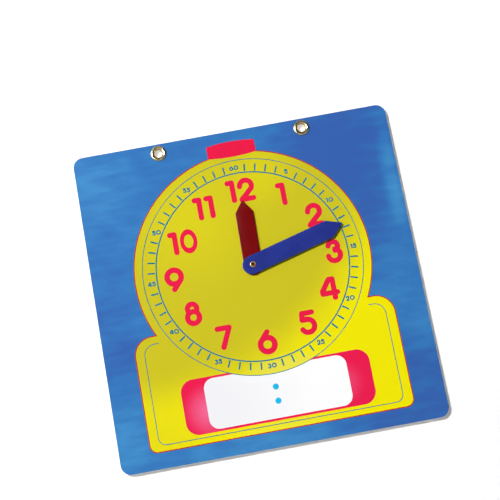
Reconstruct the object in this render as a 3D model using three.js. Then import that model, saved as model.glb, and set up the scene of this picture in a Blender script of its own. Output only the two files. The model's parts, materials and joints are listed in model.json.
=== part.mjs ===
// Demonstration clock: a square laminated card, two plastic hands that turn on a hollow rivet,
// and two brass grommets to hang it by. Millimetres. +Z points up to 12 o'clock, +X to 3 o'clock,
// and the printed face looks along -Y. The origin is midway between the two grommets, on the
// back face of the board.

import * as THREE from 'three';

// Board: a stiff card with a clear film on each side
const boardSide = 304.8;
const boardCornerRadius = 9.5;
const cardThickness = 1.0;
const filmThickness = 0.125;
const glueLine = 0.02;

// Grommets: a pressed flange and barrel in front, a dished washer behind, one sheet thickness
const grommetSpacing = 139.6;
const grommetBelowTop = 9.3;
const grommetBore = 7.9;
const grommetWall = 0.4;
const grommetFlangeDiameter = 15.3;
const grommetCrestDiameter = 12.7;
const grommetFlangeHeight = 1.7;
const grommetWasherDiameter = 15.0;
const grommetWasherFlatDiameter = 12.8;
const grommetWasherHeight = 0.8;
const grommetRollDiameter = 11.4;
const grommetRollHeight = 0.8;

// Pivot: a hollow rivet with a domed head in front, clinched over a washer behind
const pivotBelowTop = 133.4;
const pivotShankDiameter = 3.6;
const pivotWall = 0.4;
const pivotHeadDiameter = 5.8;
const pivotHeadHeight = 0.8;
const pivotClinchDiameter = 5.4;
const pivotClinchHeight = 0.7;
const pivotWasherDiameter = 10.0;
const pivotWasherThickness = 0.5;

// Spacer washers on the pivot
const boardSpacerDiameter = 10.0;
const boardSpacerThickness = 0.5;
const handSpacerDiameter = 9.0;
const handSpacerThickness = 0.5;

// Hands: flat plastic, a round tail and a pointed tip
const hourHandLength = 63.8;
const hourHandWidth = 17.2;
const hourHandTipLength = 12.2;
const hourHandTailSetback = 1.4;
const hourHandTurn = 1.0;
const minuteHandLength = 93.6;
const minuteHandWidth = 17.6;
const minuteHandTipLength = 14.2;
const minuteHandTailSetback = 1.4;
const minuteHandTurn = 75.1;
const handThickness = 1.0;
const handShoulderRadius = 2.6;
const handTipRadius = 0.9;
const handEdgeBevel = 0.2;

// Clearances
const cutClearance = 0.3;
const seatGap = 0.02;
const runningGap = 0.06;
const sameSpot = 0.001;

// Facets: the angle that one facet of a rounded edge takes, and the facets round a ring
const cornerFacetTurn = 9;
const grommetFacets = 36;
const pivotFacets = 28;
const pressedCurveSteps = 4;
const rolledCurveSteps = 3;
const bevelSteps = 2;

const degree = Math.PI / 180;

// Places along Y, from the back face of the board (zero) to the front of the hands
const cardBack = -filmThickness - glueLine;
const cardFront = cardBack - cardThickness;
const boardFront = cardFront - glueLine - filmThickness;
const boardSpacerBack = boardFront - seatGap;
const hourHandBack = boardSpacerBack - boardSpacerThickness - runningGap;
const handSpacerBack = hourHandBack - handThickness - runningGap;
const minuteHandBack = handSpacerBack - handSpacerThickness - runningGap;
const pivotHeadSeat = minuteHandBack - handThickness - runningGap;

// Places along Z, from the grommets' line
const boardCentreZ = grommetBelowTop - boardSide / 2;
const pivotZ = grommetBelowTop - pivotBelowTop;

const grommetBoreRadius = grommetBore / 2;
const grommetBarrelRadius = grommetBoreRadius + grommetWall;
const grommetHoleRadius = grommetBarrelRadius + cutClearance;
const pivotShankRadius = pivotShankDiameter / 2;
const pivotHoleRadius = pivotShankRadius + cutClearance;

const brass = { roughness: 0.3, metalness: 1.0 };
const materials = {
  card: new THREE.MeshStandardMaterial({ color: 0x3c7abf, roughness: 0.7 }),
  film: new THREE.MeshStandardMaterial({ color: 0xdfe8f0, roughness: 0.15 }),
  grommet: new THREE.MeshStandardMaterial({ color: 0xb99a5b, ...brass }),
  rivet: new THREE.MeshStandardMaterial({ color: 0xc2a36a, ...brass }),
  spacer: new THREE.MeshStandardMaterial({ color: 0xe6e4dc, roughness: 0.5 }),
  hourHand: new THREE.MeshStandardMaterial({ color: 0x7a1210, roughness: 0.35 }),
  minuteHand: new THREE.MeshStandardMaterial({ color: 0x2b3a92, roughness: 0.35 }),
};

// A closed outline through corners given as [x, y, radius], each corner rounded by an arc.
function roundedOutline(corners) {
  const points = [];
  corners.forEach(([x, y, radius], index) => {
    const [beforeX, beforeY] = corners.at(index - 1);
    const [afterX, afterY] = corners[(index + 1) % corners.length];
    const corner = new THREE.Vector2(x, y);
    const toBefore = new THREE.Vector2(beforeX, beforeY).sub(corner).normalize();
    const toAfter = new THREE.Vector2(afterX, afterY).sub(corner).normalize();
    const halfAngle = Math.acos(toBefore.dot(toAfter)) / 2;
    const inward = toBefore.clone().add(toAfter).normalize();
    const centre = corner.clone().addScaledVector(inward, radius / Math.sin(halfAngle));
    const sweep = Math.PI - 2 * halfAngle;
    const steps = Math.max(2, Math.ceil(sweep / (cornerFacetTurn * degree)));
    const start = Math.atan2(-inward.y, -inward.x) - sweep / 2;
    for (let step = 0; step <= steps; step += 1) {
      const angle = start + (sweep * step) / steps;
      points.push(new THREE.Vector2(Math.cos(angle), Math.sin(angle)).multiplyScalar(radius).add(centre));
    }
  });
  return points;
}

function circleOutline(x, y, radius, facets) {
  return Array.from({ length: facets }, (_, index) => {
    const angle = (2 * Math.PI * index) / facets;
    return new THREE.Vector2(x + radius * Math.cos(angle), y + radius * Math.sin(angle));
  });
}

// A flat plate whose outline lies in X and Z, from the plane y = 0 towards the front.
function plate(outline, holes, thickness, bevel = 0) {
  const shape = new THREE.Shape(outline);
  shape.holes = holes.map((hole) => new THREE.Path(hole));
  const geometry = new THREE.ExtrudeGeometry(shape, {
    depth: thickness - 2 * bevel,
    bevelEnabled: bevel > 0,
    bevelThickness: bevel,
    bevelSize: bevel,
    bevelOffset: -bevel,
    bevelSegments: bevelSteps,
  });
  geometry.translate(0, 0, bevel);
  geometry.rotateX(Math.PI / 2);
  return geometry;
}

// A ring pressed from sheet: the middle of the sheet follows arcs of radius and depth, and the
// closed profile on its two sides is spun round Y.
function pressedRing(arcs, wall, facets) {
  const sides = [[], []];
  for (const { curve, steps } of arcs) {
    for (let step = 0; step <= steps; step += 1) {
      const middle = curve.getPoint(step / steps);
      const along = curve.getTangent(step / steps);
      const across = new THREE.Vector2(-along.y, along.x).multiplyScalar(wall / 2);
      const outer = middle.clone().add(across);
      const previous = sides[0].at(-1);
      if (previous && outer.distanceTo(previous) < sameSpot) continue;
      sides[0].push(outer);
      sides[1].push(middle.clone().sub(across));
    }
  }
  const profile = [...sides[0], ...sides[1].reverse()];
  if (THREE.ShapeUtils.isClockWise(profile)) profile.reverse();
  profile.push(profile[0].clone());
  return new THREE.LatheGeometry(profile, facets);
}

// A flat ring round Y, from the plane y = 0 towards the front.
function flatRing(outerDiameter, holeRadius, thickness) {
  const outline = circleOutline(0, 0, outerDiameter / 2, pivotFacets);
  const hole = circleOutline(0, 0, holeRadius, pivotFacets);
  return plate(outline, [hole], thickness);
}

// A stretch of an ellipse in radius and depth, from one angle to another, cut into steps.
function ellipseArc(centreRadius, centreDepth, radiusReach, depthReach, startTurn, endTurn, steps) {
  const curve = new THREE.EllipseCurve(
    centreRadius, centreDepth, radiusReach, depthReach,
    startTurn * degree, endTurn * degree, endTurn < startTurn,
  );
  return { curve, steps };
}

function addPiece(group, name, geometry, material, y) {
  const mesh = new THREE.Mesh(geometry, material);
  mesh.name = name;
  mesh.position.y = y;
  group.add(mesh);
  return mesh;
}

// Board outline in the board's own plane, with the holes for the grommets and the pivot.
function boardPlate(thickness) {
  const half = boardSide / 2;
  const radius = boardCornerRadius;
  const outline = roundedOutline([
    [-half, boardCentreZ - half, radius],
    [half, boardCentreZ - half, radius],
    [half, boardCentreZ + half, radius],
    [-half, boardCentreZ + half, radius],
  ]);
  const holes = [
    circleOutline(-grommetSpacing / 2, 0, grommetHoleRadius, grommetFacets),
    circleOutline(grommetSpacing / 2, 0, grommetHoleRadius, grommetFacets),
    circleOutline(0, pivotZ, pivotHoleRadius, pivotFacets),
  ];
  return plate(outline, holes, thickness);
}

// Front half of a grommet: the flange rises from the film to a crest, falls into the bore as a
// bell mouth, and the barrel's end is rolled outwards over the washer behind.
function grommetEyelet() {
  const halfWall = grommetWall / 2;
  const rimRadius = grommetFlangeDiameter / 2 - halfWall;
  const crestRadius = grommetCrestDiameter / 2;
  const barrelRadius = grommetBoreRadius + halfWall;
  const flangeBase = boardFront - seatGap;
  const crestRise = grommetFlangeHeight - halfWall;
  const rollReach = (grommetRollDiameter / 2 - halfWall - barrelRadius) / 2;
  const rollSeat = grommetWasherHeight + seatGap;
  const outerSlope = ellipseArc(
    crestRadius, flangeBase, rimRadius - crestRadius, crestRise, 0, -90, pressedCurveSteps,
  );
  const bellMouth = ellipseArc(
    crestRadius, flangeBase, crestRadius - barrelRadius, crestRise, -90, -180, pressedCurveSteps,
  );
  const roll = ellipseArc(
    barrelRadius + rollReach, rollSeat, rollReach, grommetRollHeight - halfWall,
    180, 0, 2 * rolledCurveSteps,
  );
  return pressedRing([outerSlope, bellMouth, roll], grommetWall, grommetFacets);
}

// Back half of a grommet: a flat ring with its outer rim turned down onto the film.
function grommetWasher() {
  const halfWall = grommetWall / 2;
  const rimRadius = grommetWasherDiameter / 2 - halfWall;
  const flatRadius = grommetWasherFlatDiameter / 2;
  const flatDepth = grommetWasherHeight - halfWall;
  const rim = ellipseArc(
    flatRadius, seatGap, rimRadius - flatRadius, flatDepth - seatGap, 0, 90, pressedCurveSteps,
  );
  const flatEdge = new THREE.Vector2(flatRadius, flatDepth);
  const innerEdge = new THREE.Vector2(grommetHoleRadius, flatDepth);
  const flat = { curve: new THREE.LineCurve(flatEdge, innerEdge), steps: 1 };
  return pressedRing([rim, flat], grommetWall, grommetFacets);
}

// The hollow rivet: a domed head on the minute hand, a straight shank, and a clinched end.
function pivotEyelet() {
  const halfWall = pivotWall / 2;
  const shankRadius = pivotShankRadius - halfWall;
  const headCurl = (pivotHeadDiameter / 2 - halfWall - shankRadius) / 2;
  const headRise = pivotHeadHeight - halfWall;
  const clinchCurl = (pivotClinchDiameter / 2 - halfWall - shankRadius) / 2;
  const clinchRise = pivotClinchHeight - halfWall;
  const clinchSeat = 2 * seatGap + pivotWasherThickness;
  const head = ellipseArc(
    shankRadius + headCurl, pivotHeadSeat, headCurl, headRise, 0, -180, 2 * rolledCurveSteps,
  );
  const clinch = ellipseArc(
    shankRadius + clinchCurl, clinchSeat, clinchCurl, clinchRise, 180, 0, 2 * rolledCurveSteps,
  );
  return pressedRing([head, clinch], pivotWall, pivotFacets);
}

// A hand points up Z from the pivot: a full round tail, straight sides, and a pointed tip.
function handPlate(length, width, tipLength, tailSetback) {
  const half = width / 2;
  const outline = roundedOutline([
    [-half, -tailSetback - half, half],
    [half, -tailSetback - half, half],
    [half, length - tipLength, handShoulderRadius],
    [0, length, handTipRadius],
    [-half, length - tipLength, handShoulderRadius],
  ]);
  const hole = circleOutline(0, 0, pivotHoleRadius, pivotFacets);
  return plate(outline, [hole], handThickness, handEdgeBevel);
}

const clock = new THREE.Group();

addPiece(clock, 'back_laminate_film', boardPlate(filmThickness), materials.film, 0);
addPiece(clock, 'printed_card', boardPlate(cardThickness), materials.card, cardBack);
addPiece(clock, 'front_laminate_film', boardPlate(filmThickness), materials.film, cardFront - glueLine);

for (const [side, direction] of [['left', -1], ['right', 1]]) {
  const grommet = new THREE.Group();
  grommet.position.x = (direction * grommetSpacing) / 2;
  clock.add(grommet);
  addPiece(grommet, `${side}_grommet`, grommetEyelet(), materials.grommet, 0);
  addPiece(grommet, `${side}_grommet_washer`, grommetWasher(), materials.grommet, 0);
}

const pivot = new THREE.Group();
pivot.position.z = pivotZ;
clock.add(pivot);

addPiece(pivot, 'pivot_eyelet', pivotEyelet(), materials.rivet, 0);

const backWasher = flatRing(pivotWasherDiameter, pivotHoleRadius, pivotWasherThickness);
addPiece(pivot, 'pivot_back_washer', backWasher, materials.rivet, seatGap + pivotWasherThickness);

const boardSpacer = flatRing(boardSpacerDiameter, pivotHoleRadius, boardSpacerThickness);
addPiece(pivot, 'board_spacer', boardSpacer, materials.spacer, boardSpacerBack);

const handSpacer = flatRing(handSpacerDiameter, pivotHoleRadius, handSpacerThickness);
addPiece(pivot, 'hand_spacer', handSpacer, materials.spacer, handSpacerBack);

const hourPlate = handPlate(hourHandLength, hourHandWidth, hourHandTipLength, hourHandTailSetback);
const hourHand = addPiece(pivot, 'hour_hand', hourPlate, materials.hourHand, hourHandBack);
hourHand.rotation.y = hourHandTurn * degree;

const minutePlate = handPlate(
  minuteHandLength, minuteHandWidth, minuteHandTipLength, minuteHandTailSetback,
);
const minuteHand = addPiece(pivot, 'minute_hand', minutePlate, materials.minuteHand, minuteHandBack);
minuteHand.rotation.y = minuteHandTurn * degree;

export default clock;
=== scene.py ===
import json
import math

import bmesh
import bpy
from mathutils import Matrix, Vector
from mathutils.geometry import delaunay_2d_cdt


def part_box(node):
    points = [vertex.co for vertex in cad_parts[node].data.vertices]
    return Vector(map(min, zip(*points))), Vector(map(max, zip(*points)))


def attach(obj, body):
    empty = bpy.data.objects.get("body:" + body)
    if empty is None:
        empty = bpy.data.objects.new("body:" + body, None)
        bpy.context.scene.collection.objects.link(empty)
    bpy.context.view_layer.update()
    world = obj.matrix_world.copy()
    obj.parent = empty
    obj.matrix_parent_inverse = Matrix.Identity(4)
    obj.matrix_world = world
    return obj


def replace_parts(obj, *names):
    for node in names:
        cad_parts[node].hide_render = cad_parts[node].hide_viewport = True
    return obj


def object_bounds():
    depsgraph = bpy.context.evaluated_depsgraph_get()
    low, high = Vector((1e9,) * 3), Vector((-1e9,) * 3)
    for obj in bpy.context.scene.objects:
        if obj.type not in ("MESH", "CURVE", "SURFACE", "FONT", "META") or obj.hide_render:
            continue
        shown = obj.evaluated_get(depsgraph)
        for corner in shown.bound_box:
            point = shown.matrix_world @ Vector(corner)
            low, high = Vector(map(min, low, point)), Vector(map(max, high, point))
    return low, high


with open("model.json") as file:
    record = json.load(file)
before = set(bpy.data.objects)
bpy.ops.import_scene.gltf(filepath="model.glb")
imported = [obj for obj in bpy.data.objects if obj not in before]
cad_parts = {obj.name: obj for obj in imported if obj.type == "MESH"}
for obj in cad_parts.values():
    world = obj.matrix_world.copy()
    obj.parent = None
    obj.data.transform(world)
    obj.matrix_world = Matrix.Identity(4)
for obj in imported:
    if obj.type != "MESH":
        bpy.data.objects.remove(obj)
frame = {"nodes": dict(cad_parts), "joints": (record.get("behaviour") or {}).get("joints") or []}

cad_box = [list(corner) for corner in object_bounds()]

# Printed card. A stiff white-lined grey board, die cut with round corners and punched for the
# grommets and the rivet. Between the two films only its cut edge shows.
mm = 0.001
card_core = (196, 193, 184)
card_core_speck = (168, 164, 152)
card_plies = {"scale": 2600, "detail": 3, "stretch": (1, 6, 1)}
card_specks = (0.35, 0.7)
card_roughness = 0.85
card_fibre_depth = 0.03 * mm


def ink(colour):
    """A colour as it looks on paper, 0 to 255, in the linear values that shaders take."""
    levels = [channel / 255 for channel in colour]
    return [c / 12.92 if c <= 0.04045 else ((c + 0.055) / 1.055) ** 2.4 for c in levels] + [1]


class Signal:
    """A socket in a node tree. Python's operators on it add Math nodes to the tree."""

    def __init__(self, nodes, socket):
        self.nodes = nodes
        self.socket = socket

    def maths(self, operation, first, second):
        return self.nodes.node("ShaderNodeMath", {"operation": operation}, {0: first, 1: second})

    def __add__(self, other):
        return self.maths("ADD", self, other)

    def __sub__(self, other):
        return self.maths("SUBTRACT", self, other)

    def __rsub__(self, other):
        return self.maths("SUBTRACT", other, self)

    def __mul__(self, other):
        return self.maths("MULTIPLY", self, other)

    __radd__ = __add__
    __rmul__ = __mul__

    def eased(self, low, high):
        """0 at low, 1 at high, level beyond them, and a smooth step between them."""
        sockets = {"Value": self, "From Min": low, "From Max": high}
        return self.nodes.node("ShaderNodeMapRange", {"interpolation_type": "SMOOTHSTEP"}, sockets)


class Nodes:
    """A node tree that is built up one node at a time."""

    def __init__(self, tree):
        self.tree = tree

    def feed(self, socket, value):
        """Links a signal to a socket, or sets a plain value on it."""
        if isinstance(value, Signal):
            self.tree.links.new(value.socket, socket)
        else:
            socket.default_value = value

    def node(self, kind, settings, sockets, output=0):
        """Adds any node, makes its settings, feeds its sockets, and returns one output."""
        added = self.tree.nodes.new(kind)
        for name, value in settings.items():
            setattr(added, name, value)
        for name, value in sockets.items():
            self.feed(added.inputs[name], value)
        return Signal(self, added.outputs[output])


class Finish(Nodes):
    """A material in nodes, on one Principled shader, laid out by places on the object."""

    def __init__(self, name, **plain):
        self.material = bpy.data.materials.new(name)
        self.material.use_nodes = True
        super().__init__(self.material.node_tree)
        self.shader = self.tree.nodes["Principled BSDF"]
        self.place = self.node("ShaderNodeTexCoord", {}, {}, "Object")
        for socket, value in plain.items():
            self.shader.inputs[socket.replace("_", " ")].default_value = value

    def colour(self, value):
        self.feed(self.shader.inputs["Base Color"], value)

    def roughness(self, value):
        self.feed(self.shader.inputs["Roughness"], value)

    def relief(self, height, depth):
        """Raises the surface by height, from 0 to 1, times a depth in metres."""
        bump = self.node("ShaderNodeBump", {}, {"Height": height, "Distance": depth})
        self.feed(self.shader.inputs["Normal"], bump)

    def blend(self, share, first, second):
        """The first colour where the share is 0 and the second where it is 1."""
        sockets = {0: share, 6: first, 7: second}
        return self.node("ShaderNodeMix", {"data_type": "RGBA"}, sockets, 2)

    def grain(self, scale, detail, stretch=(1, 1, 1), turn=(0, 0, 0)):
        """A cloudy pattern from 0 to 1, with scale times stretch clouds to the metre."""
        sockets = {"Vector": self.place, "Rotation": turn, "Scale": stretch}
        place = self.node("ShaderNodeMapping", {}, sockets)
        sockets = {"Vector": place, "Scale": scale, "Detail": detail}
        return self.node("ShaderNodeTexNoise", {}, sockets)

    def away(self, centre, reach=(1, 1, 1)):
        """Distance from a centre, each axis in lengths of its own reach, all in metres."""
        kind = "ShaderNodeVectorMath"
        offset = self.node(kind, {"operation": "SUBTRACT"}, {0: self.place, 1: centre})
        scaled = self.node(kind, {"operation": "DIVIDE"}, {0: offset, 1: reach})
        return self.node(kind, {"operation": "LENGTH"}, {0: scaled}, "Value")


def dress(name, finish):
    """Gives a CAD node its finish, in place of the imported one."""
    packed = frame["nodes"][name]
    packed.data.materials.clear()
    packed.data.materials.append(finish.material)


card_edge = Finish("grey_board_edge", Roughness=card_roughness)
plies = card_edge.grain(**card_plies)
card_edge.colour(card_edge.blend(plies.eased(*card_specks), ink(card_core), ink(card_core_speck)))
card_edge.relief(plies, card_fibre_depth)
dress("printed_card", card_edge)

# Back film. Clear gloss film hot rolled over the card's blank back, so the board looks white
# from behind, with the faint long ripples that the rollers leave.
blank_back = (236, 236, 232)
blank_back_shade = (226, 227, 224)
blank_back_cloud = {"scale": 18, "detail": 4}
film_ior = 1.45
film_roughness = 0.11
film_wear = 0.05
film_ripple = {"scale": 11, "detail": 2, "stretch": (1, 1, 1.8)}
film_ripple_depth = 0.3 * mm
film_grain = {"scale": 700, "detail": 1}
film_grain_depth = 0.0025 * mm


def film_surface(finish, wear):
    """The gloss of the film, over whatever colour lies under it."""
    finish.roughness(film_roughness + film_wear * wear)
    fine = finish.grain(**film_grain) * (film_grain_depth / film_ripple_depth)
    finish.relief(finish.grain(**film_ripple) + fine, film_ripple_depth)


back_face = Finish("white_back_under_film", IOR=film_ior)
handled = back_face.grain(**blank_back_cloud)
back_face.colour(back_face.blend(handled, ink(blank_back), ink(blank_back_shade)))
film_surface(back_face, handled)
dress("back_laminate_film", back_face)

# Front film. The same film over the printed face. Each colour of the print is one flush inlay
# as thick as the film, so the edges between the colours stay as crisp as a press leaves them.
# Sizes here are in millimetres, and places are right of and above the pivot.
pivot_x, _, pivot_z = frame["joints"][0]["pos_m"]
film_low, film_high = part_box("front_laminate_film")
board_half_width = (film_high.x - film_low.x) / 2 / mm
board_top = (film_high.z - pivot_z) / mm
board_bottom = (film_low.z - pivot_z) / mm
board_corner = 9.5
grommet_side = 69.8
grommet_hole = 4.65
pivot_hole = 2.1
same_spot = 0.0001
quarter_turn = math.pi / 2
round_sides = 240
small_round_sides = 56
corner_steps = 14
fewest_steps = 2

dial_centre = (-0.4, 0)
face_radius = 112.3
outline_width = 0.9
base_half_width = 123.1
base_top = -49.2
base_bottom = -156.6
base_top_corner = 18
base_bottom_corner = 7.5
base_line_half_width = 113.9
base_line_top = -57.0
base_line_bottom = -150.4
base_line_top_corner = 10.5
base_line_bottom_corner = 7
base_line_gap = 99.1
base_line_gap_reach = 1
thin_line = 0.75
button_centre = -0.65
button_half_width = 23.3
button_top = 121.4
button_top_rise = 2.0
button_bottom = 109.4
button_bottom_drop = 1.6

window_centre = 1.2
window_half_width = 88.4
window_top = -95.8
window_bottom = -147.2
window_corner = 12
panel_half_width = 66.8
panel_top = -97.8
panel_bottom = -145.0
panel_corner = 9.5
dot_radius = 2.85
dot_x = 0.0
dot_heights = (-116.2, -129.4)

track_outer = 104.0
track_inner = 91.0
track_inner_line = 1.25
tick_inner = 92.1
tick_length = 7.4
tick_width = 1.5
tick_end_steps = 6
track_turn = -0.5
ticks = 60
ticks_to_a_number = 5
minute_number_radius = 96.5
minute_number_scale = 0.192
minute_number_stroke = 0.6
minute_number_gap = 0.35
hour_number_scale = 1
hour_number_stroke = 2.55
hour_number_gap = 2.0

# Centre of each hour's numeral, right of and above the pivot.
hour_places = {
    "1": (38.7, 62.7), "2": (65.6, 37.3), "3": (77.0, -0.8), "4": (66.1, -35.4),
    "5": (40.2, -63.1), "6": (-0.2, -74.1), "7": (-38.3, -62.9), "8": (-63.6, -35.4),
    "9": (-75.1, -0.3), "10": (-61.4, 33.7), "11": (-36.3, 62.8), "12": (1.0, 73.6),
}

# Each digit's pen strokes round its own middle: runs of straight strokes, arcs given by centre,
# radius, start and end, and closed rings given by centre and the pen's two reaches.
digits = {
    "0": {"rings": [((0, 0), (6.3, 9.15), (0.74, 1.04))]},
    "1": {"lines": [[(-2.05, 8.8), (2.05, 8.8), (2.05, -8.8)]]},
    "2": {
        "arcs": [((0, 3.5), 5.65, 178, -36)],
        "lines": [[(4.6, 0.2), (-5.5, -9.2), (5.65, -9.2)]],
    },
    "3": {"arcs": [((0, 4.8), 4.45, 166, -72), ((0, -3.55), 5.65, 76, -175)]},
    "4": {
        "lines": [
            [(4.05, 8.85), (4.05, -8.9)],
            [(4.05, 8.8), (0.45, 8.8), (-6.85, -1.8), (-6.85, -4.1), (6.85, -4.1)],
        ],
    },
    "5": {
        "lines": [[(5.0, 9.2), (-4.2, 9.2), (-4.8, 3.1), (-0.5, 3.05)]],
        "arcs": [((-0.45, -3.05), 6.1, 90, -152)],
    },
    "6": {"rings": [((0, -2.5), (6.65, 6.65), (1.06, 1.06))], "lines": [[(1.3, 9.3), (-4.9, 2.1)]]},
    "7": {"lines": [[(-5.55, 8.9), (5.55, 8.9), (-2.25, -8.9)]]},
    "8": {"rings": [((0, 4.8), (4.4, 4.4), (1, 1)), ((0, -3.65), (5.6, 5.6), (1, 1))]},
    "9": {
        "rings": [((0, 2.5), (6.65, 6.65), (1.04, 1.04))],
        "lines": [[(-1.3, -9.3), (4.9, -2.1)]],
    },
}
minute_digits = digits | {
    "0": {"rings": [((0, 0), (9.0, 9.0), (1, 1))]},
    "3": {"arcs": [((0, 4.9), 4.4, 150, -75), ((0, -3.9), 5.5, 75, -155)]},
}


def oval(centre, reach_x, reach_y, sides):
    """A closed outline with so many sides, from its centre and its reaches across and up."""
    turns = [2 * math.pi * side / sides for side in range(sides)]
    return [(centre[0] + reach_x * math.cos(t), centre[1] + reach_y * math.sin(t)) for t in turns]


def circle(centre, radius, sides=small_round_sides):
    return oval(centre, radius, radius, sides)


def fan(centre, radius, start, end):
    """Points along an arc, with its start and end in radians."""
    steps = max(fewest_steps, math.ceil(abs(end - start) / quarter_turn * corner_steps))
    turns = [start + (end - start) * step / steps for step in range(steps + 1)]
    return [(centre[0] + radius * math.cos(t), centre[1] + radius * math.sin(t)) for t in turns]


def extent(centre, half_width, bottom, top):
    """The left, bottom, right and top of a shape that is even about its centre."""
    return centre - half_width, bottom, centre + half_width, top


def rounded(left, bottom, right, top, bottom_corner, top_corner, inset=0):
    """A rectangle with round corners, drawn in by inset all round."""
    outline = []
    for index, (x, y, radius) in enumerate((
        (right - top_corner, top - top_corner, top_corner),
        (left + top_corner, top - top_corner, top_corner),
        (left + bottom_corner, bottom + bottom_corner, bottom_corner),
        (right - bottom_corner, bottom + bottom_corner, bottom_corner),
    )):
        start, end = index * quarter_turn, (index + 1) * quarter_turn
        outline += fan((x, y), radius - inset, start, end)
    return outline


def bar(start, end, half):
    """One straight pen stroke with round ends."""
    along = math.atan2(end[1] - start[1], end[0] - start[0])
    far_end = fan(end, half, along - quarter_turn, along + quarter_turn)
    return far_end + fan(start, half, along + quarter_turn, along + 3 * quarter_turn)


def bow(centre, radius, start, end, half):
    """One pen stroke round an arc, clockwise, with round ends."""
    first, last = math.radians(start), math.radians(end)
    tip, tail = (
        (centre[0] + radius * math.cos(turn), centre[1] + radius * math.sin(turn))
        for turn in (last, first)
    )
    outer = fan(centre, radius + half, first, last) + fan(tip, half, last, last - math.pi)
    inner = fan(centre, radius - half, last, first) + fan(tail, half, first + math.pi, first)
    return outer + inner


def drawn_digit(strokes, half, scale):
    """A digit's outlines in the order they are laid, and whether each is ink or a bare eye."""
    laid = []
    for centre, (reach_x, reach_y), (pen_x, pen_y) in strokes.get("rings", ()):
        place = (centre[0] * scale, centre[1] * scale)
        for inked, side in ((True, 1), (False, -1)):
            wide = reach_x * scale + side * half * pen_x
            tall = reach_y * scale + side * half * pen_y
            laid.append((inked, oval(place, wide, tall, small_round_sides)))
    for run in strokes.get("lines", ()):
        run = [(x * scale, y * scale) for x, y in run]
        laid += [(True, bar(start, end, half)) for start, end in zip(run, run[1:])]
    for (x, y), radius, start, end in strokes.get("arcs", ()):
        laid.append((True, bow((x * scale, y * scale), radius * scale, start, end, half)))
    return laid


def set_number(text, place, half, scale, gap, shapes):
    """A number's digits side by side with an even gap, centred on a place."""
    line, reach = [], 0
    for character in text:
        laid = drawn_digit(shapes[character], half, scale)
        left = min(x for _, outline in laid for x, _ in outline)
        right = max(x for _, outline in laid for x, _ in outline)
        line += [(inked, [(x - left + reach, y) for x, y in outline]) for inked, outline in laid]
        reach += right - left + gap
    shift = place[0] - (reach - gap) / 2
    return [(inked, [(x + shift, y + place[1]) for x, y in outline]) for inked, outline in line]


def tick_layout():
    """Node tree that sets a round-ended tick at every minute that has no number."""
    tree = bpy.data.node_groups.new("minute_tick_layout", "GeometryNodeTree")
    given_sizes = {
        "Ticks": ("NodeSocketInt", ticks),
        "Ticks to a Number": ("NodeSocketInt", ticks_to_a_number),
        "Inner Radius": ("NodeSocketFloat", tick_inner),
        "Length": ("NodeSocketFloat", tick_length),
        "Width": ("NodeSocketFloat", tick_width),
        "Turn": ("NodeSocketFloat", math.radians(-track_turn)),
    }
    for name, (kind, _) in given_sizes.items():
        tree.interface.new_socket(name=name, in_out="INPUT", socket_type=kind)
    tree.interface.new_socket(name="Ticks", in_out="OUTPUT", socket_type="NodeSocketGeometry")
    layout = Nodes(tree)
    inputs = tree.nodes.new("NodeGroupInput").outputs
    size = {name: Signal(layout, inputs[name]) for name in given_sizes}

    middle = size["Inner Radius"] + size["Length"] * 0.5
    sockets = {"Vertices": size["Ticks"], "Radius": middle}
    places = layout.node("GeometryNodeMeshCircle", {}, sockets)
    first_turn = layout.node("ShaderNodeCombineXYZ", {}, {"Z": size["Turn"]})
    sockets = {"Geometry": places, "Rotation": first_turn}
    places = layout.node("GeometryNodeTransform", {}, sockets)
    minute = layout.node("GeometryNodeInputIndex", {}, {})
    sockets = {0: math.tau, 1: size["Ticks"]}
    step = layout.node("ShaderNodeMath", {"operation": "DIVIDE"}, sockets)
    facing = layout.node("ShaderNodeCombineXYZ", {}, {"Z": minute * step + size["Turn"]})
    sockets = {0: minute, 1: size["Ticks to a Number"]}
    unnumbered = layout.node("ShaderNodeMath", {"operation": "MODULO"}, sockets)

    sockets = {"Width": size["Length"], "Height": size["Width"]}
    square_ended = layout.node("GeometryNodeCurvePrimitiveQuadrilateral", {}, sockets)
    sockets = {"Curve": square_ended, "Count": tick_end_steps, "Limit Radius": True}
    sockets["Radius"] = size["Width"] * 0.5
    round_ended = layout.node("GeometryNodeFilletCurve", {"mode": "POLY"}, sockets)
    tick = layout.node("GeometryNodeFillCurve", {"mode": "NGONS"}, {"Curve": round_ended})

    sockets = {"Points": places, "Selection": unnumbered, "Instance": tick, "Rotation": facing}
    placed = layout.node("GeometryNodeInstanceOnPoints", {}, sockets)
    real = layout.node("GeometryNodeRealizeInstances", {}, {"Geometry": placed})
    sockets = {"Geometry": real, "Material": track_ink.material}
    inked = layout.node("GeometryNodeSetMaterial", {}, sockets)
    layout.feed(tree.nodes.new("NodeGroupOutput").inputs[0], inked)
    return tree, {name: value for name, (_, value) in given_sizes.items()}


def made_by(tree, sizes):
    """The plain mesh that a node tree makes at the given sizes."""
    carrier = bpy.data.objects.new("layout", bpy.data.meshes.new("layout"))
    bpy.context.scene.collection.objects.link(carrier)
    modifier = carrier.modifiers.new("layout", "NODES")
    modifier.node_group = tree
    for item in tree.interface.items_tree:
        if item.in_out == "INPUT":
            modifier[item.identifier] = sizes[item.name]
    evaluated = carrier.evaluated_get(bpy.context.evaluated_depsgraph_get())
    made = bpy.data.meshes.new_from_object(evaluated)
    carrier.modifiers.remove(modifier)
    bpy.data.objects.remove(carrier)
    return made


def is_clockwise(outline):
    edges = zip(outline, [*outline[1:], outline[0]])
    return sum((x1 - x0) * (y1 + y0) for (x0, y0), (x1, y1) in edges) > 0


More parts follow.
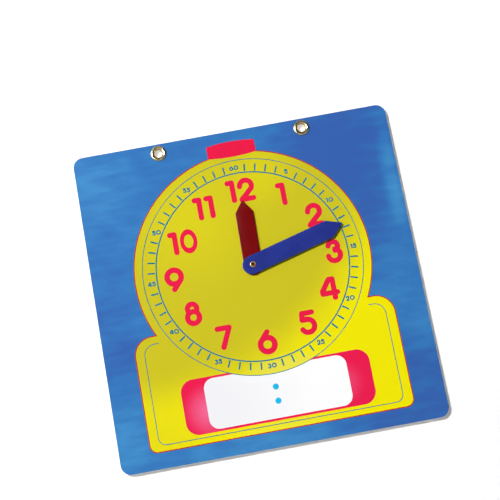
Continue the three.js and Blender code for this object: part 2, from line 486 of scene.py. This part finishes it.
def cut_to_regions(laid):
    """Cuts a face along every outline laid on it. Each part takes the last ink laid there."""
    corners, outlines = [], []
    for _, outline in laid:
        order = list(range(len(corners), len(corners) + len(outline)))
        outlines.append(order[::-1] if is_clockwise(outline) else order)
        corners += [Vector(point) for point in outline]
    points, _, faces, _, _, covers = delaunay_2d_cdt(corners, [], outlines, 1, same_spot)
    regions = {}
    for face, cover in zip(faces, covers):
        if cover:
            regions.setdefault(laid[max(cover)][0], []).append(face)
    return points, regions


def rim_edges(faces):
    """The edges that only one of the faces has, each in that face's own direction."""
    directed = {(a, b) for face in faces for a, b in zip(face, [*face[1:], face[0]])}
    return [(a, b) for a, b in directed if (b, a) not in directed]


def fitted(name, mesh, finish, body):
    """A finished piece from a mesh, riding on its body."""
    mesh.materials.append(finish.material)
    piece = bpy.data.objects.new(name, mesh)
    bpy.context.scene.collection.objects.link(piece)
    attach(piece, body)
    return piece


def new_piece(name, vertices, faces, finish, body):
    """A finished piece from plain lists of corners and faces."""
    mesh = bpy.data.meshes.new(name)
    mesh.from_pydata(vertices, [], faces)
    mesh.validate()
    return fitted(name, mesh, finish, body)


def inlay(name, points, faces, finish):
    """One colour of the print, as a closed sheet that fills the film from front to back."""
    used = sorted({corner for face in faces for corner in face})
    order = {corner: index for index, corner in enumerate(used)}
    faces = [[order[corner] for corner in face] for face in faces]
    flat = [(pivot_x + points[c].x * mm, pivot_z + points[c].y * mm) for c in used]
    vertices = [(x, y, z) for y in (film_low.y, film_high.y) for x, z in flat]
    back = len(flat)
    sheet = faces + [[corner + back for corner in reversed(face)] for face in faces]
    sheet += [[b, a, a + back, b + back] for a, b in sorted(rim_edges(faces))]
    piece = new_piece(name, vertices, sheet, finish, "board")
    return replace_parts(piece, "front_laminate_film")


any_depth = 1000


def soft_patches(finish, patches, low=0.0, high=1.0):
    """The sum of soft-edged ovals that lighten or darken a colour, such as painted sheen and
    highlights on the film, or paler print.

    Each is given by its place right of and above the pivot, its reach across and up, and its
    strength. It is whole up to the low share of its reach and gone at the high share.
    """
    total = 0
    for x, up, wide, tall, strength in patches:
        centre = (pivot_x + x * mm, 0, pivot_z + up * mm)
        distance = finish.away(centre, (wide * mm, any_depth, tall * mm))
        total = total + (1 - distance.eased(low, high)) * strength
    return total


# The blue field is printed in three tones, streaked and clouded like brushed paint. The streaks and
# clouds are partly painted sheen of the film, and the soft patches laid over them are painted sheen
# and painted shade: lighter and darker blue where the film threw back more or less light.
field_deep = (55, 97, 173)
field_mid = (54, 117, 185)
field_light = (68, 143, 201)
deep_to_mid = (0, 0.55)
mid_to_light = (0.4, 1.1)
field_smear = {"scale": 30, "detail": 3, "stretch": (0.6, 1, 1), "turn": (0, 0.35, 0)}
smear_strength = 0.8
field_mottle = {"scale": 120, "detail": 3, "stretch": (0.3, 1, 1.1), "turn": (0, 0.12, 0)}
mottle_strength = 0.75
grain_mean = 0.5
# Soft patches of painted sheen and painted shade on the blue: place, reach across and up, strength.
field_sheen_patches = (
    (-132, 98, 62, 58, 0.2), (-142, -42, 40, 70, -0.2), (-150, -142, 46, 46, 0.3),
    (-30, -168, 92, 32, 0.32), (93, 93, 66, 80, -0.6), (145, 62, 10, 60, 0.5),
    (140, -62, 50, 56, 0.12), (116, 2, 28, 50, -0.25), (134, -150, 84, 62, -0.43),
)
field_sheen_patch_edge = (0.15, 1.25)
field_ink = Finish("blue_field_under_film", IOR=film_ior)
smear = field_ink.grain(**field_smear)
mottle = field_ink.grain(**field_mottle)
tone = grain_mean + (smear - grain_mean) * smear_strength
tone = tone + (mottle - grain_mean) * mottle_strength
# Painted sheen and painted shade over the print's tones.
tone = tone + soft_patches(field_ink, field_sheen_patches, *field_sheen_patch_edge)
field_colour = field_ink.blend(tone.eased(*deep_to_mid), ink(field_deep), ink(field_mid))
field_colour = field_ink.blend(tone.eased(*mid_to_light), field_colour, ink(field_light))
field_ink.colour(field_colour)
film_surface(field_ink, smear)

# The yellow brightens towards the lower right and is darker at the lower left of the base. Two soft
# patches above the pivot are painted highlights of glare on the film, and it is paler in two places
# near the bottom, a painted haze of reflected light.
dial_shade = (203, 192, 36)
dial_bright = (242, 231, 9)
dial_glare_haze = (232, 224, 90)
dial_cloud = {"scale": 22, "detail": 3}
gradient_centre = (-82 * mm, 0, pivot_z + 102 * mm)
gradient_reach = (184 * mm, 246 * mm)
gradient_waver = 0.02
# Two painted highlights of glare on the film, then a darker patch at the lower left of the base.
dial_glints_and_dark_patch = ((-52, 54, 84, 84, 0.3), (22, 86, 44, 44, 0.3), (-118, -150, 90, 90, -0.35))
# Painted haze of reflected light, paler in two places near the bottom.
glare_haze_patches = ((12, -100, 52, 16, 0.6), (4, -156, 66, 13, 0.3))
glare_haze_core = 0.2
dial_ink = Finish("yellow_dial_under_film", IOR=film_ior)
cloud = dial_ink.grain(**dial_cloud)
brightness = dial_ink.away(gradient_centre) + cloud * gradient_waver
# Painted highlights of glare, and a darker patch, over the gradient.
brightness = brightness.eased(*gradient_reach) + soft_patches(dial_ink, dial_glints_and_dark_patch)
# Painted haze of reflected light near the bottom.
glare_haze = soft_patches(dial_ink, glare_haze_patches, glare_haze_core)
dial_colour = dial_ink.blend(brightness, ink(dial_shade), ink(dial_bright))
dial_ink.colour(dial_ink.blend(glare_haze, dial_colour, ink(dial_glare_haze)))
film_surface(dial_ink, cloud)

ink_detail = 3
ink_clouds = (0.3, 0.7)


def plain_ink(name, main, shade, scale):
    """One even ink, with the slight unevenness of a printed solid."""
    finish = Finish(name, IOR=film_ior)
    cloud = finish.grain(scale, ink_detail)
    finish.colour(finish.blend(cloud.eased(*ink_clouds), ink(main), ink(shade)))
    film_surface(finish, cloud)
    return finish


track_ink = plain_ink(
    "blue_track_under_film", main=(0, 122, 148), shade=(0, 116, 142), scale=60,
)
numeral_ink = plain_ink(
    "red_numerals_under_film", main=(233, 33, 68), shade=(229, 30, 74), scale=40,
)
button_ink = plain_ink(
    "red_button_under_film", main=(233, 31, 68), shade=(230, 28, 72), scale=40,
)
outline_ink = plain_ink(
    "red_outline_under_film", main=(196, 0, 22), shade=(190, 0, 26), scale=40,
)
dot_ink = plain_ink(
    "cyan_dots_under_film", main=(22, 190, 236), shade=(28, 184, 232), scale=60,
)

# The panel is for a dry marker. Its white is a shade cooler towards the left.
panel_left = (238, 238, 242)
panel_right = (254, 254, 254)
panel_cloud = {"scale": 9, "detail": 3}
panel_waver = 0.02
panel_ink = Finish("white_panel_under_film", IOR=film_ior)
left_end = (-panel_half_width * mm, 0, pivot_z + (panel_top + panel_bottom) / 2 * mm)
cloud = panel_ink.grain(**panel_cloud)
across = (panel_ink.away(left_end) + cloud * panel_waver).eased(0, 2 * panel_half_width * mm)
panel_ink.colour(panel_ink.blend(across, ink(panel_left), ink(panel_right)))
film_surface(panel_ink, cloud)

# The pink frame is paler beside each end of the panel.
window_edge = (235, 29, 78)
window_pale = (241, 104, 150)
window_patches = ((-64, -127, 27, 29, 1.0), (66, -124, 18, 22, 0.33))
window_cloud = {"scale": 40, "detail": 3}
window_waver = 0.02
window_ink = Finish("pink_window_under_film", IOR=film_ior)
cloud = window_ink.grain(**window_cloud)
paleness = soft_patches(window_ink, window_patches) + cloud * window_waver
window_ink.colour(window_ink.blend(paleness, ink(window_edge), ink(window_pale)))
film_surface(window_ink, cloud)

inks = {
    "blue_field": field_ink,
    "dial_outline": outline_ink,
    "dial_and_base": dial_ink,
    "minute_track": track_ink,
    "window_frame": window_ink,
    "write_on_panel": panel_ink,
    "hour_numerals": numeral_ink,
    "top_button": button_ink,
    "colon_dots": dot_ink,
}

dial_middle = dial_centre[0]
base = extent(dial_middle, base_half_width, base_bottom, base_top)
base = (*base, base_bottom_corner, base_top_corner)
line = extent(dial_middle, base_line_half_width, base_line_bottom, base_line_top)
line = (*line, base_line_bottom_corner, base_line_top_corner)
gap_low, gap_high = base_line_top - base_line_gap_reach, base_line_top + base_line_gap_reach
gap_left, _, gap_right, _ = extent(dial_middle, base_line_gap, gap_low, gap_high)
field = extent(0, board_half_width, board_bottom, board_top)
window = extent(window_centre, window_half_width, window_bottom, window_top)
panel = extent(window_centre, panel_half_width, panel_bottom, panel_top)
laid = [
    ("blue_field", rounded(*field, board_corner, board_corner)),
    ("dial_outline", rounded(*base)),
    ("dial_outline", circle(dial_centre, face_radius, round_sides)),
    ("dial_and_base", rounded(*base, outline_width)),
    ("dial_and_base", circle(dial_centre, face_radius - outline_width, round_sides)),
    ("minute_track", rounded(*line, -thin_line / 2)),
    ("dial_and_base", rounded(*line, thin_line / 2)),
    ("dial_and_base", [
        (gap_left, gap_low), (gap_right, gap_low), (gap_right, gap_high), (gap_left, gap_high),
    ]),
    ("window_frame", rounded(*window, window_corner, window_corner)),
    ("write_on_panel", rounded(*panel, panel_corner, panel_corner)),
    ("minute_track", circle(dial_centre, track_outer + thin_line / 2, round_sides)),
    ("dial_and_base", circle(dial_centre, track_outer - thin_line / 2, round_sides)),
    ("minute_track", circle(dial_centre, track_inner + track_inner_line / 2, round_sides)),
    ("dial_and_base", circle(dial_centre, track_inner - track_inner_line / 2, round_sides)),
]

tick_mesh = made_by(*tick_layout())
for tick in tick_mesh.polygons:
    corners = [tick_mesh.vertices[index].co for index in tick.vertices]
    laid.append(("minute_track", [(corner.x + dial_middle, corner.y) for corner in corners]))

style = (minute_number_stroke, minute_number_scale, minute_number_gap, minute_digits)
for minute in range(ticks_to_a_number, ticks + 1, ticks_to_a_number):
    turn = math.tau * minute / ticks + math.radians(track_turn)
    right, up = minute_number_radius * math.sin(turn), minute_number_radius * math.cos(turn)
    for inked, outline in set_number(str(minute), (dial_middle + right, up), *style):
        laid.append(("minute_track" if inked else "dial_and_base", outline))

style = (hour_number_stroke, hour_number_scale, hour_number_gap, digits)
for hour, place in hour_places.items():
    for inked, outline in set_number(hour, place, *style):
        laid.append(("hour_numerals" if inked else "dial_and_base", outline))

button = []
for edge, bulge, direction in (
    (button_bottom, -button_bottom_drop, 1), (button_top, button_top_rise, -1),
):
    for step in range(corner_steps + 1):
        share = 2 * step / corner_steps - 1
        x = button_centre + direction * share * button_half_width
        button.append((x, edge + bulge * (1 - share * share)))
laid.append(("top_button", button))
laid += [("colon_dots", circle((dot_x, height), dot_radius)) for height in dot_heights]
laid += [("hole", circle((side * grommet_side, -pivot_z / mm), grommet_hole)) for side in (-1, 1)]
laid.append(("hole", circle((0, 0), pivot_hole)))

points, regions = cut_to_regions(laid)
for name, finish in inks.items():
    inlay(name, points, regions[name], finish)

# Grommets. Each is a pressed brass eyelet whose flange stands up in front and falls into the
# bore as a bell mouth; behind, the barrel is rolled over a washer with a turned-down rim.
# Radii are in millimetres from the grommet's axis, and depths from the back of the board.
ring_steps = 96
ring_sharp_angle = math.radians(40)
wall = 0.4
least_step = 0.001
bore = 3.95
barrel = bore + wall / 2
flange_rim = 7.45
flange_crest = 6.0
flange_rise = 1.5
flange_foot = -1.31
flange_steps = 12
roll_outer = 5.5
roll_seat = 0.82
roll_rise = 0.6
roll_steps = 16
washer_rim = 7.3
washer_flat = 6.4
washer_depth = 0.6
washer_seat = 0.02
washer_steps = 10


def swept(centre, reach, start, end, steps):
    """Points along an ellipse in radius and depth, each with the way across the sheet.

    The start and the end are in degrees.
    """
    path = []
    direction = math.copysign(1, end - start)
    for step in range(steps + 1):
        t = math.radians(start + (end - start) * step / steps)
        point = Vector((centre[0] + reach[0] * math.cos(t), centre[1] + reach[1] * math.sin(t)))
        along = Vector((-reach[0] * math.sin(t), reach[1] * math.cos(t))) * direction
        path.append((point, Vector((-along.y, along.x)).normalized()))
    return path


def rolled(inner, outer, depth, rise, start, end, steps):
    """A sheet's path from one radius over to another, round the middle between them."""
    return swept(((inner + outer) / 2, depth), ((outer - inner) / 2, rise), start, end, steps)


def sheet_profile(path):
    """The closed profile of sheet metal bent along a path."""
    faces = [[point + across * side * wall / 2 for point, across in path] for side in (1, -1)]
    kept = [[], []]
    for near, far in zip(*faces):
        if not kept[0] or (near - kept[0][-1]).length > least_step:
            kept[0].append(near)
            kept[1].append(far)
    return kept[0] + kept[1][::-1]


def outward(mesh):
    """Turns every face of a closed mesh outwards."""
    shell = bmesh.new()
    shell.from_mesh(mesh)
    bmesh.ops.recalc_face_normals(shell, faces=shell.faces)
    shell.to_mesh(mesh)
    shell.free()


def spun(name, profile, centre, finish, body, node):
    """A closed profile in radius and depth, spun round an axis along the board's thickness."""
    vertices, faces = [], []
    for step in range(ring_steps):
        turn = math.tau * step / ring_steps
        for radius, depth in profile:
            x = centre[0] + radius * mm * math.cos(turn)
            z = centre[1] + radius * mm * math.sin(turn)
            vertices.append((x, depth * mm, z))
    count = len(profile)
    for step in range(ring_steps):
        here, there = step * count, (step + 1) % ring_steps * count
        for index in range(count):
            after = (index + 1) % count
            faces.append([here + index, here + after, there + after, there + index])
    piece = new_piece(name, vertices, faces, finish, body)
    outward(piece.data)
    piece.data.shade_smooth()
    piece.data.set_sharp_from_angle(angle=ring_sharp_angle)
    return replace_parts(piece, node)


brass_tarnish = {"scale": 420, "detail": 4}
brass_scratches = {"scale": 2600, "detail": 2, "stretch": (1, 1, 5)}
tarnished = (0.42, 0.72)
tarnish_dulling = 0.12
scratch_share = 0.6
brass_relief = 0.012 * mm
# Painted shade inside a narrow bore: its dark brown, how far past its radius it fades, how much
# duller.
bore_shade_brown = (128, 84, 42)
bore_shade_fade = 1.15
bore_dulling = 2.5


def pressed_brass(name, bright, dull, roughness, shaded_bore=None):
    """Lacquered brass that was tumbled after pressing: fine scratches and slightly dull hollows.

    A shaded bore, given by its axis and its radius, is painted dark brown and made duller: painted
    shade inside the narrow tube.
    """
    finish = Finish(name, Metallic=1.0)
    tarnish = finish.grain(**brass_tarnish)
    scratches = finish.grain(**brass_scratches)
    metal = finish.blend(tarnish.eased(*tarnished), ink(bright), ink(dull))
    # Painted shade: darker brown and duller inside the bore.
    if shaded_bore:
        (x, z), radius = shaded_bore
        distance = finish.away((x, 0, z), (1, any_depth, 1))
        inside = 1 - distance.eased(radius, radius * bore_shade_fade)
        metal = finish.blend(inside, metal, ink(bore_shade_brown))
        tarnish = tarnish + inside * bore_dulling
    finish.colour(metal)
    finish.roughness(roughness + tarnish_dulling * tarnish)
    finish.relief(scratch_share * scratches + (1 - scratch_share) * tarnish, brass_relief)
    return finish


grommet_brass = pressed_brass(
    "grommet_brass", bright=(212, 198, 156), dull=(146, 122, 78), roughness=0.17,
)
crest = (flange_crest, flange_foot)
flange = sheet_profile(
    swept(crest, (flange_rim - flange_crest, flange_rise), 0, -90, flange_steps)
    + swept(crest, (flange_crest - barrel, flange_rise), -90, -180, flange_steps)
    + rolled(barrel, roll_outer, roll_seat, roll_rise, 180, 0, roll_steps)
)
rim_reach = (washer_rim - washer_flat, washer_depth - washer_seat)
washer = sheet_profile(
    swept((washer_flat, washer_seat), rim_reach, 0, 90, washer_steps)
    + [(Vector((grommet_hole, washer_depth)), Vector((0, -1)))]
)
for side, direction in (("left", -1), ("right", 1)):
    centre = (direction * grommet_side * mm, 0)
    for node, profile in ((f"{side}_grommet", flange), (f"{side}_grommet_washer", washer)):
        spun(f"{node}_brass", profile, centre, grommet_brass, "board", node)

# Washers on the rivet. A brass one spreads the clinched end over the back film, and two white
# plastic ones keep the hands clear of the board and of each other.
pivot_point = (pivot_x, pivot_z)
rivet_bore = 1.85 * mm
rivet_brass = pressed_brass(
    "rivet_brass", bright=(222, 190, 136), dull=(166, 124, 72), roughness=0.25,
    shaded_bore=(pivot_point, rivet_bore),
)
edge_round = 0.12
edge_steps = 4


def flat_washer(name, outer, inner, back, front, finish, node):
    """A flat ring with its edges rounded over, from its back plane to its front plane."""
    outer, inner = outer - edge_round, inner + edge_round
    back, front = back - edge_round, front + edge_round
    profile = []
    for radius, depth, start in (
        (outer, back, 90), (outer, front, 0), (inner, front, -90), (inner, back, -180),
    ):
        for step in range(edge_steps + 1):
            t = math.radians(start - 90 * step / edge_steps)
            profile.append((radius + edge_round * math.cos(t), depth + edge_round * math.sin(t)))
    spun(name, profile, pivot_point, finish, "board", node)


spacer_white = (232, 230, 224)
spacer_shade = (218, 215, 207)
spacer_cloud = {"scale": 300, "detail": 2}
spacer_ior = 1.46
spacer_roughness = 0.42
spacer_wear = 0.1
spacer_relief = 0.01 * mm
spacer_plastic = Finish("white_spacer_plastic", IOR=spacer_ior)
cloud = spacer_plastic.grain(**spacer_cloud)
spacer_plastic.colour(spacer_plastic.blend(cloud, ink(spacer_white), ink(spacer_shade)))
spacer_plastic.roughness(spacer_roughness + spacer_wear * cloud)
spacer_plastic.relief(cloud, spacer_relief)

for node, finish, slot in (
    ("pivot_back_washer", rivet_brass, "rivet_brass"),
    ("board_spacer", spacer_plastic, "spacer_plastic"),
    ("hand_spacer", spacer_plastic, "spacer_plastic"),
):
    low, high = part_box(node)
    outer = (high.x - low.x) / 2 / mm
    flat_washer(f"{node}_ring", outer, pivot_hole, high.y / mm, low.y / mm, finish, node)

# Hour hand. The short red hand, stamped from plastic sheet with softened edges, a round tail
# and a pointed tip, and dished a little where the rivet was closed.
hand_edge = 0.22
hand_edge_steps = 4
hand_sharp_angle = math.radians(35)
hand_shoulder = 2.6
hand_tip_corner = 0.9
hand_setback = 1.4
dish_rings = (3.1, 3.6, 4.2, 4.8, 5.4, 6.0)
dish_depth = 0.14
weld_distance = 0.0002 * mm


def rounded_corners(corners, inset):
    """A closed outline through corners given as x, y and radius, drawn in by inset."""
    outline = []
    for index, (x, y, radius) in enumerate(corners):
        corner = Vector((x, y))
        before = (Vector(corners[index - 1][:2]) - corner).normalized()
        after = (Vector(corners[(index + 1) % len(corners)][:2]) - corner).normalized()
        half_angle = before.angle(after) / 2
        inward = (before + after).normalized()
        centre = corner + inward * radius / math.sin(half_angle)
        sweep = math.pi - 2 * half_angle
        start = math.atan2(-inward.y, -inward.x) - sweep / 2
        outline += fan(centre, radius - inset, start, start + sweep)
    return outline


def dish(reach):
    """How far a hand's face is pressed in, in metres, at a reach from the pivot."""
    inner, outer = dish_rings[0], dish_rings[-1]
    share = min(1, max(0, (outer - reach) / (outer - inner)))
    return share * share * (3 - 2 * share) * dish_depth * mm


def hand(name, length, width, tip, turn, finish):
    """A clock hand from its plan, turned clockwise from upright, that replaces its CAD node."""
    low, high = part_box(name)
    half = width / 2
    plan = [
        (-half, -hand_setback - half, half), (half, -hand_setback - half, half),
        (half, length - tip, hand_shoulder), (0, length, hand_tip_corner),
        (-half, length - tip, hand_shoulder),
    ]
    shell = bmesh.new()
    clockwise = Matrix.Rotation(-math.radians(turn), 2)

    def corner_at(point, y):
        x, up = clockwise @ Vector(point)
        return shell.verts.new((pivot_x + x * mm, y, pivot_z + up * mm))

    def fill(y, facing):
        laid = [("plastic", rounded_corners(plan, hand_edge))]
        laid += [("plastic", circle((0, 0), radius)) for radius in reversed(dish_rings)]
        laid.append(("hole", circle((0, 0), pivot_hole + hand_edge)))
        points, regions = cut_to_regions(laid)
        in_front = facing > 0
        corners = [corner_at(p, y + (dish(p.length) if in_front else 0)) for p in points]
        for face in regions["plastic"]:
            shell.faces.new([corners[index] for index in face[::facing]])

    fill(low.y, 1)
    fill(high.y, -1)
    rounding = []
    for step in range(hand_edge_steps + 1):
        t = quarter_turn * step / hand_edge_steps
        rounding.append((hand_edge * (1 - math.sin(t)), hand_edge * (1 - math.cos(t)) * mm))
    depths = [(inset, low.y + depth) for inset, depth in rounding]
    depths += [(inset, high.y - depth) for inset, depth in reversed(rounding)]
    for bands in zip(depths, depths[1:]):
        rims = [[corner_at(p, y) for p in rounded_corners(plan, inset)] for inset, y in bands]
        holes = [[corner_at(p, y) for p in circle((0, 0), pivot_hole + i)] for i, y in bands]
        for first, second in (rims, holes[::-1]):
            for index, corner in enumerate(first):
                shell.faces.new((corner, first[index - 1], second[index - 1], second[index]))
    bmesh.ops.remove_doubles(shell, verts=shell.verts, dist=weld_distance)
    bmesh.ops.recalc_face_normals(shell, faces=shell.faces)
    mesh = bpy.data.meshes.new(f"{name}_plastic")
    shell.to_mesh(mesh)
    shell.free()
    mesh.shade_smooth()
    mesh.set_sharp_from_angle(angle=hand_sharp_angle)
    piece = fitted(f"{name}_plastic", mesh, finish, name)
    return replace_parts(piece, name)


plastic_specular = 0.35
plastic_cloud = {"scale": 45, "detail": 3}
plastic_clouds = (0.3, 0.75)
plastic_scuffs = {"scale": 900, "detail": 2, "stretch": (1, 1, 0.15)}
plastic_roughness = 0.15
plastic_wear = 0.06
scuff_share = 0.7
plastic_relief = 0.006 * mm


def hand_plastic(name, main, shade):
    """Satin sheet plastic: a little uneven in colour, with fine handling scratches."""
    finish = Finish(name, Specular_IOR_Level=plastic_specular)
    cloud = finish.grain(**plastic_cloud)
    scuffs = finish.grain(**plastic_scuffs)
    finish.colour(finish.blend(cloud.eased(*plastic_clouds), ink(main), ink(shade)))
    finish.roughness(plastic_roughness + plastic_wear * cloud)
    finish.relief(scuff_share * scuffs + (1 - scuff_share) * cloud, plastic_relief)
    return finish


hour_plastic = hand_plastic("dark_red_plastic", main=(120, 10, 14), shade=(112, 4, 6))
hand(
    "hour_hand", length=63.8, width=17.2, tip=12.2, turn=1.0,
    finish=hour_plastic,
)

# Minute hand. The long dark blue hand, stamped from the same sheet in the same way. It lies
# over the hour hand, clear of it by the upper spacer, and turns on the same rivet.
minute_plastic = hand_plastic("dark_blue_plastic", main=(40, 55, 142), shade=(36, 47, 128))
hand(
    "minute_hand", length=93.6, width=17.6, tip=14.2, turn=75.1,
    finish=minute_plastic,
)

# Rivet. A hollow brass eyelet through the board and both hands, its head rolled over in front
# and its other end clinched over the brass washer behind.
eyelet_shank = 1.6
head_outer = 2.7
head_seat = -4.55
head_rise = 0.6
head_steps = 20
clinch_outer = 2.5
clinch_seat = 0.54
clinch_rise = 0.5
clinch_steps = 16
eyelet = sheet_profile(
    rolled(eyelet_shank, head_outer, head_seat, head_rise, 0, -180, head_steps)
    + rolled(eyelet_shank, clinch_outer, clinch_seat, clinch_rise, 180, 0, clinch_steps)
)
spun("pivot_rivet", eyelet, pivot_point, rivet_brass, "board", "pivot_eyelet")

# Setting. A white wall close behind the board that only shows from the front, a pale floor well
# below, soft lights for the face and the back, and a pale card at the left that only shows in
# gloss. Past them lies a plain room, dark in front of the board and light at its left.
background = (1, 1, 1, 1)
glow_in_metal = 0.25
wall_gap = 2.1 * mm
wall_half = 6.0
wall_white = (0.95, 0.95, 0.95, 1)
wall_glow = 0.08
far_wall = (0.3, 0.9)
# A painted pool of light on the wall behind each grommet's hole: its reach and its extra glow.
hole_light_reach = (4 * mm, 8 * mm)
painted_hole_light = 0.25
# Painted shade on the wall behind the rivet: its reach, its dark brown and its missing glow.
rivet_shade_reach = (2.5 * mm, 5 * mm)
painted_rivet_shade = (0.4, 0.16, 0.07, 1)
rivet_shade_glow = (0, 0, 0, 1)
floor_height = -1.3
floor_half = 30.0
floor_white = (0.3, 0.3, 0.3, 1)
floor_glow = (0.9, 0.9, 0.9, 1)
room_in_front = 0.02
room_at_left = 2.6
left_edge = (-0.78, -0.92)
room_behind = 0.45
behind_edge = (-0.2, 0.6)
room_above = 0.5
above_edge = (0.75, 0.95)


def flat_stage(name, corners, paint):
    """A flat painted sheet of the setting."""
    mesh = bpy.data.meshes.new(name)
    mesh.from_pydata(corners, [], [list(range(len(corners)))])
    mesh.materials.append(paint.material)
    plane = bpy.data.objects.new(name, mesh)
    bpy.context.scene.collection.objects.link(plane)


def ray(nodes, kind):
    """1 for one kind of ray and 0 for the others."""
    return nodes.node("ShaderNodeLightPath", {}, {}, f"Is {kind} Ray")


def stage_paint(name):
    """Matt paint that takes the object's shadow and glows only to the camera and in metal."""
    finish = Finish(name, Roughness=1.0, Specular_IOR_Level=0)
    mirrored = ray(finish, "Glossy") + ray(finish, "Transmission")
    seen = ray(finish, "Camera") + mirrored * glow_in_metal
    finish.feed(finish.shader.inputs["Emission Strength"], seen)
    return finish


def give_glow(finish, colour):
    """The colour of a stage paint's glow, where a level of 1 shows as white."""
    finish.feed(finish.shader.inputs["Emission Color"], colour)


floor_paint = stage_paint("floor_white")
floor_paint.colour(floor_white)
give_glow(floor_paint, floor_glow)
flat_stage("floor", [
    (-floor_half, -floor_half, floor_height), (floor_half, -floor_half, floor_height),
    (floor_half, floor_half, floor_height), (-floor_half, floor_half, floor_height),
], floor_paint)

# The wall glows to white beyond the board. Behind the grommets' holes it glows brighter, a painted
# pool of light seen through them, and where it shows through the rivet it is dark brown with no
# glow, a painted shade.
board_middle = Vector((0, film_low.y, (film_low.z + film_high.z) / 2))
wall_y = cad_box[1][1] + wall_gap
wall_paint = stage_paint("wall_white")
# Painted shade: 0 on the dark brown patch behind the rivet, 1 elsewhere.
clear_of_rivet_shade = wall_paint.away((pivot_x, wall_y, pivot_z)).eased(*rivet_shade_reach)
wall_paint.colour(wall_paint.blend(clear_of_rivet_shade, painted_rivet_shade, wall_white))
level = wall_glow + wall_paint.away(board_middle).eased(*far_wall) * (1 - wall_glow)
# A painted pool of light behind each grommet's hole.
for side in (-1, 1):
    hole = (side * grommet_side * mm, wall_y, 0)
    level = level + (1 - wall_paint.away(hole).eased(*hole_light_reach)) * painted_hole_light
give_glow(wall_paint, wall_paint.blend(level * clear_of_rivet_shade, rivet_shade_glow, background))
behind = wall_paint.node("ShaderNodeNewGeometry", {}, {}, "Backfacing")
unseen = 1 - (1 - behind) * (1 - ray(wall_paint, "Shadow"))
painted = Signal(wall_paint, wall_paint.shader.outputs[0])
clear = wall_paint.node("ShaderNodeBsdfTransparent", {}, {})
one_sided = wall_paint.node("ShaderNodeMixShader", {}, {0: unseen, 1: painted, 2: clear})
wall_paint.feed(wall_paint.tree.nodes["Material Output"].inputs["Surface"], one_sided)
flat_stage("wall", [
    (-wall_half, wall_y, floor_height), (wall_half, wall_y, floor_height),
    (wall_half, wall_y, wall_half), (-wall_half, wall_y, wall_half),
], wall_paint)


def soft_light(name, direction, distance, size, power, lights_matt=True):
    """A square softbox that faces the middle of the board."""
    lamp = bpy.data.lights.new(name, "AREA")
    lamp.size = size
    lamp.energy = power
    holder = bpy.data.objects.new(name, lamp)
    holder.visible_diffuse = lights_matt
    holder.location = board_middle + Vector(direction).normalized() * distance
    holder.rotation_euler = (board_middle - holder.location).to_track_quat("-Z", "Y").to_euler()
    bpy.context.scene.collection.objects.link(holder)


soft_light("key_light", direction=(-0.5, -1, 0.4), distance=3.2, size=0.45, power=105.5)
soft_light("back_light", direction=(0.5, 1, 0.6), distance=1.8, size=0.6, power=12)
soft_light(
    "reflector_card", direction=(-0.85, -0.53, 0.3), distance=1.25, size=1.3, power=14,
    lights_matt=False,
)

# Metal shows the white background where it faces away from the dark front of the room.
world = bpy.data.worlds.new("studio")
bpy.context.scene.world = world
world.use_nodes = True
sky = Nodes(world.node_tree)
towards = sky.node("ShaderNodeTexCoord", {}, {}, "Generated")
right, back, up = (sky.node("ShaderNodeSeparateXYZ", {}, {0: towards}, axis) for axis in "XYZ")
away_from_front = back.eased(*behind_edge)
strength = room_in_front + right.eased(*left_edge) * room_at_left
strength = strength + away_from_front * room_behind + up.eased(*above_edge) * room_above
room = sky.tree.nodes["Background"]
sky.feed(room.inputs["Color"], background)
sky.feed(room.inputs["Strength"], strength)
mirrored = ray(sky, "Glossy") + ray(sky, "Transmission")
seen = ray(sky, "Camera") + mirrored * away_from_front
white = sky.node("ShaderNodeBackground", {}, {"Color": background})
sockets = {0: seen, 1: Signal(sky, room.outputs[0]), 2: white}
shown = sky.node("ShaderNodeMixShader", {}, sockets)
sky.feed(sky.tree.nodes["World Output"].inputs["Surface"], shown)

camera_data = bpy.data.cameras.new("camera")
camera_data.sensor_width = 36
camera_data.lens = 90
camera_data.shift_y = 0.0014
camera = bpy.data.objects.new("camera", camera_data)
camera.location = (-0.02145, -1.15308, -0.35971)
camera.rotation_euler = [math.radians(turn) for turn in (102.434, 10.328, 1.219)]
bpy.context.scene.collection.objects.link(camera)
bpy.context.scene.camera = camera
bpy.context.scene.view_settings.view_transform = "Standard"
